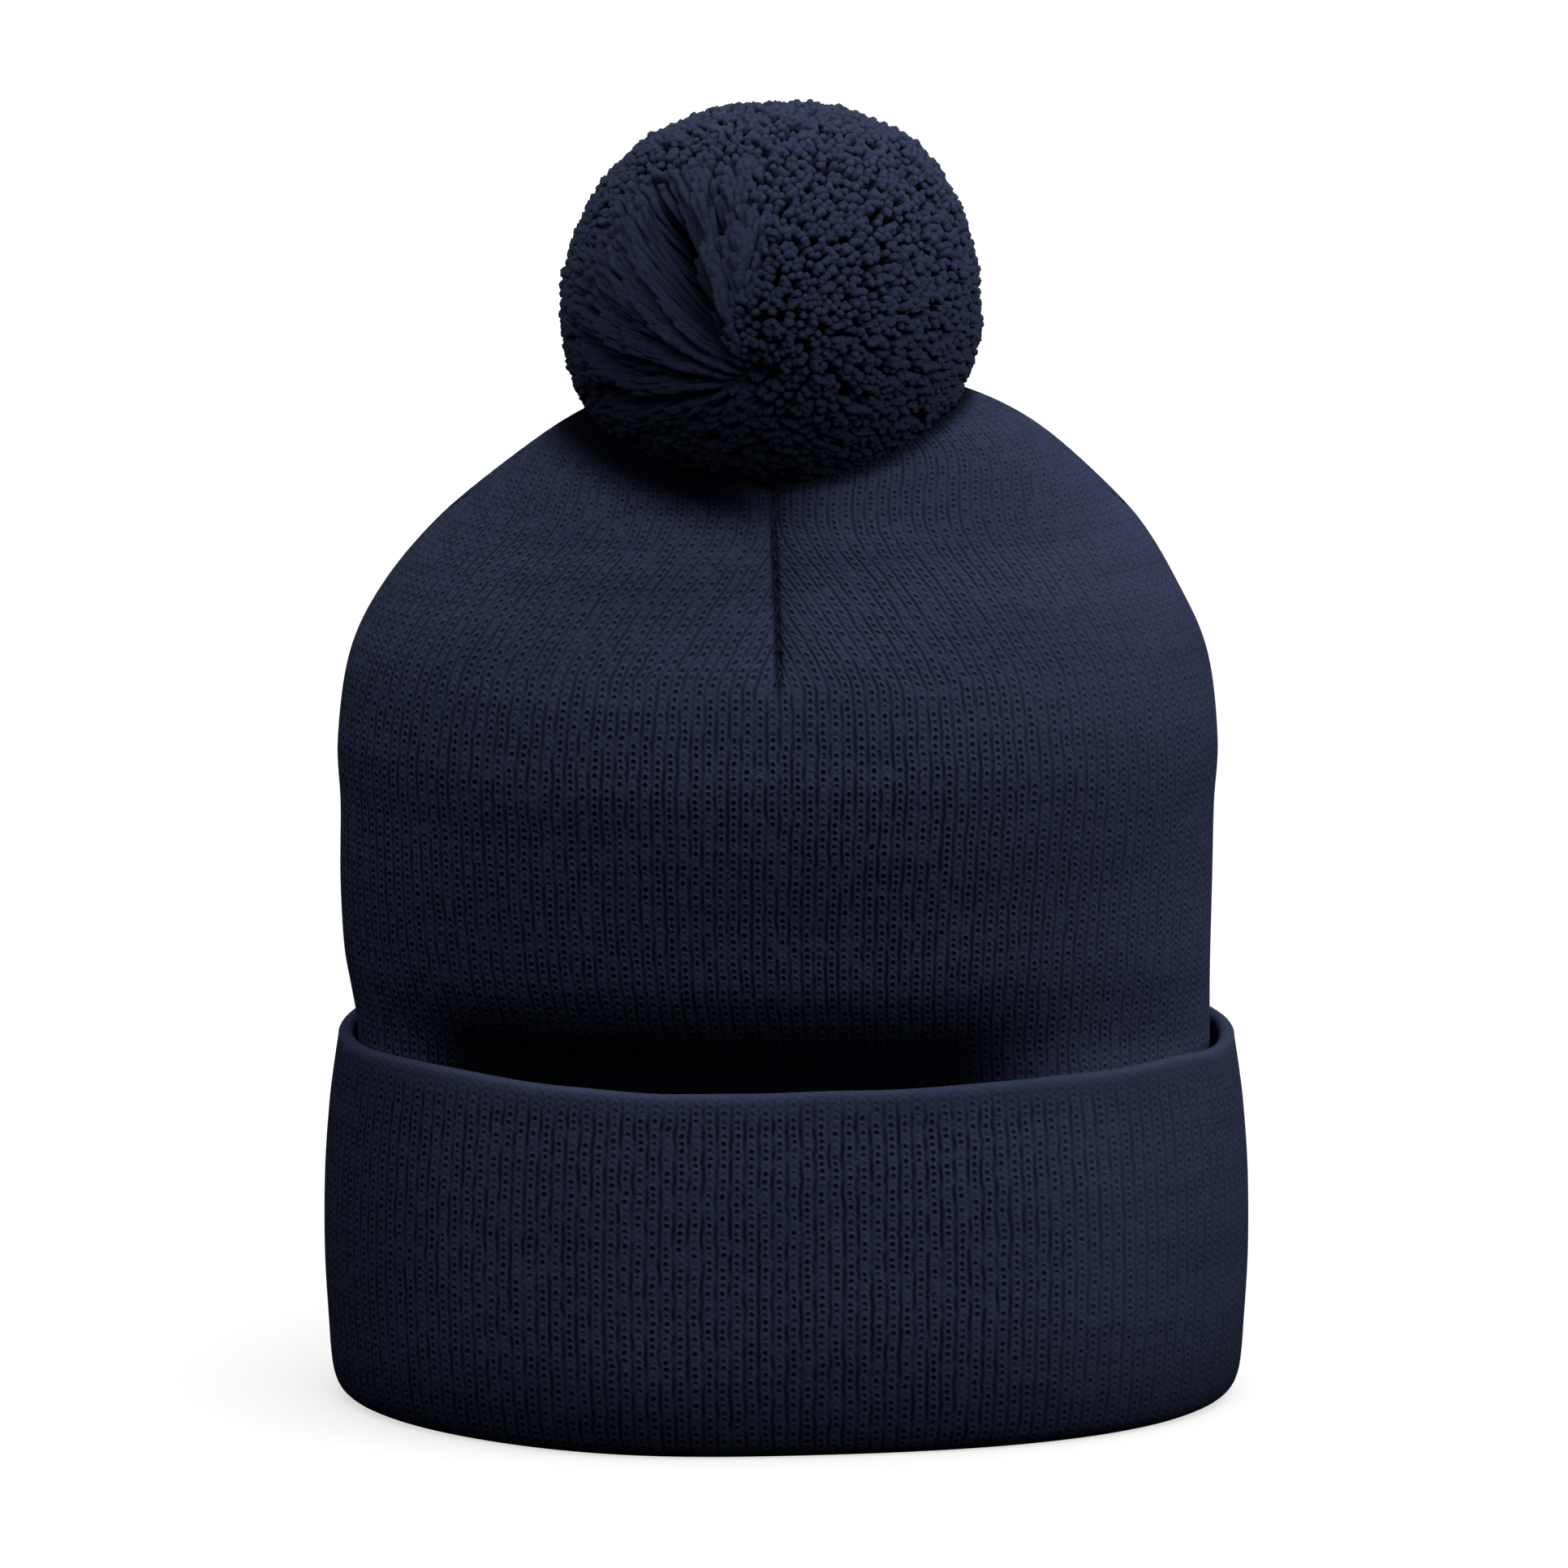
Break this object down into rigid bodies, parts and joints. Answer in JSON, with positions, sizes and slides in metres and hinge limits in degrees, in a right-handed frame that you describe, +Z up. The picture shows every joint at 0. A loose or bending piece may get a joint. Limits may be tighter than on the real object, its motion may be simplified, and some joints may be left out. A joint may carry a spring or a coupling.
{
  "type": "pom pom beanie",
  "caption": "Knitted beanie with a deep turned-up cuff, a darted crown and a round yarn pom pom on top.",
  "frame": {"origin": "on the resting surface, under the middle of the cuff", "axes": "+Z up through the crown, -Y towards the front dart, +X to the right of the front view"},
  "size_m": [0.1928, 0.1282, 0.2725],
  "materials": {
    "knit": "matte",
    "lining_knit": "matte",
    "yarn": "matte",
    "thread": "matte",
    "label": "satin"
  },
  "bodies": {
    "hat": {"outer_shell": "knit", "inner_lining": "lining_knit", "dart_seam_front": "thread", "lining_seam_front": "thread", "dart_seam_back": "thread", "lining_seam_back": "thread", "dart_seam_left": "thread", "lining_seam_left": "thread", "dart_seam_right": "thread", "lining_seam_right": "thread", "anchor_thread": "thread", "anchor_knot": "thread", "label_stitches": "thread"},
    "cuff": {"cuff_face_layer": "knit", "cuff_back_layer": "knit", "cuff_top_fold": "knit", "cuff_bottom_turn": "knit"},
    "tie_core": {"tie_knot": "thread"},
    "tie_collar": {"tie_wrap": "thread"},
    "pompom": {"pompom_yarn": "yarn"},
    "label": {"care_label": "label"}
  },
  "joints": [
    {"name": "cuff_turn_down", "type": "slide", "parent": "hat", "child": "cuff", "axis": [0, 0, -1], "range_m": [0, 0.068]},
    {"name": "pompom_nod", "type": "hinge", "parent": "hat", "child": "tie_core", "pos_m": [-0.0033, 0, 0.2295], "axis": [1, 0, 0], "range_deg": [-10, 10], "stiffness_Nm_per_rad": 0.04},
    {"name": "pompom_lean", "type": "hinge", "parent": "tie_core", "child": "tie_collar", "pos_m": [-0.0033, 0, 0.2295], "axis": [0, 1, 0], "range_deg": [-10, 10], "stiffness_Nm_per_rad": 0.04},
    {"name": "pompom_twist", "type": "hinge", "parent": "tie_collar", "child": "pompom", "pos_m": [-0.0033, 0, 0.2295], "axis": [0, 0, 1], "range_deg": [-40, 40], "stiffness_Nm_per_rad": 0.01},
    {"name": "label_flip", "type": "hinge", "parent": "hat", "child": "label", "pos_m": [0, 0.04185, 0.16], "axis": [-1, 0, 0], "range_deg": [0, 75]}
  ]
}
